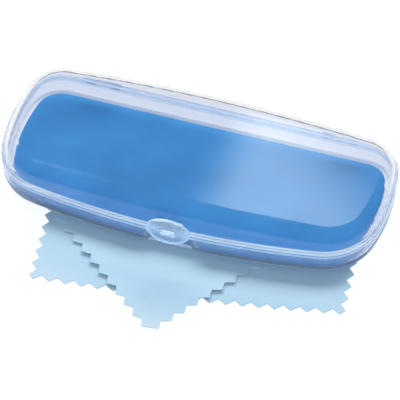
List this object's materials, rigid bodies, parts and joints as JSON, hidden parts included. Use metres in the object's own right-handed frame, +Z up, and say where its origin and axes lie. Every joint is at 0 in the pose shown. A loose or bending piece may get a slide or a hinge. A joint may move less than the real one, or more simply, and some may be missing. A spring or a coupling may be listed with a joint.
{
  "type": "hinged spectacle case",
  "caption": "Clear rigid hinged spectacle case with a soft blue liner in its base and a frosted oval front clasp, lying on cleaning cloths with pinked edges.",
  "frame": {"origin": "on the surface the lower cloth lies on, under the middle of the case's length and depth", "axes": "+X along the case to the viewer's right, +Y from the clasp to the hinge side, +Z up"},
  "size_m": [0.16, 0.1144, 0.0245],
  "materials": {
    "clear_plastic": "polished clear moulded plastic",
    "frosted_plastic": "frosted translucent plastic",
    "steel": "plain ground pin",
    "blue_fabric": "short blue flocked felt",
    "cloth": "fine woven microfibre"
  },
  "bodies": {
    "base": {"base_shell": "clear_plastic", "base_liner": "blue_fabric", "hinge_pin_left": "steel", "hinge_pin_right": "steel"},
    "lid": {"lid_shell": "clear_plastic", "clasp_pin": "steel"},
    "clasp": {"clasp": "frosted_plastic"},
    "lower_cloth": {"cleaning_cloth_lower": "cloth"},
    "upper_cloth": {"cleaning_cloth_upper": "cloth"}
  },
  "joints": [
    {"name": "lid_hinge", "type": "hinge", "parent": "base", "child": "lid", "pos_m": [0, 0.0357, 0.0112], "axis": [-1, 0, 0], "range_deg": [0, 110]},
    {"name": "clasp_hinge", "type": "hinge", "parent": "lid", "child": "clasp", "pos_m": [0, -0.03485, 0.0163], "axis": [-1, 0, 0], "range_deg": [0, 35]},
    {"name": "lower_cloth_slide", "type": "slide", "parent": "base", "child": "lower_cloth", "axis": [0, -1, 0], "range_m": [0, 0.08]},
    {"name": "upper_cloth_slide", "type": "slide", "parent": "base", "child": "upper_cloth", "axis": [0, -1, 0], "range_m": [0, 0.08]}
  ]
}
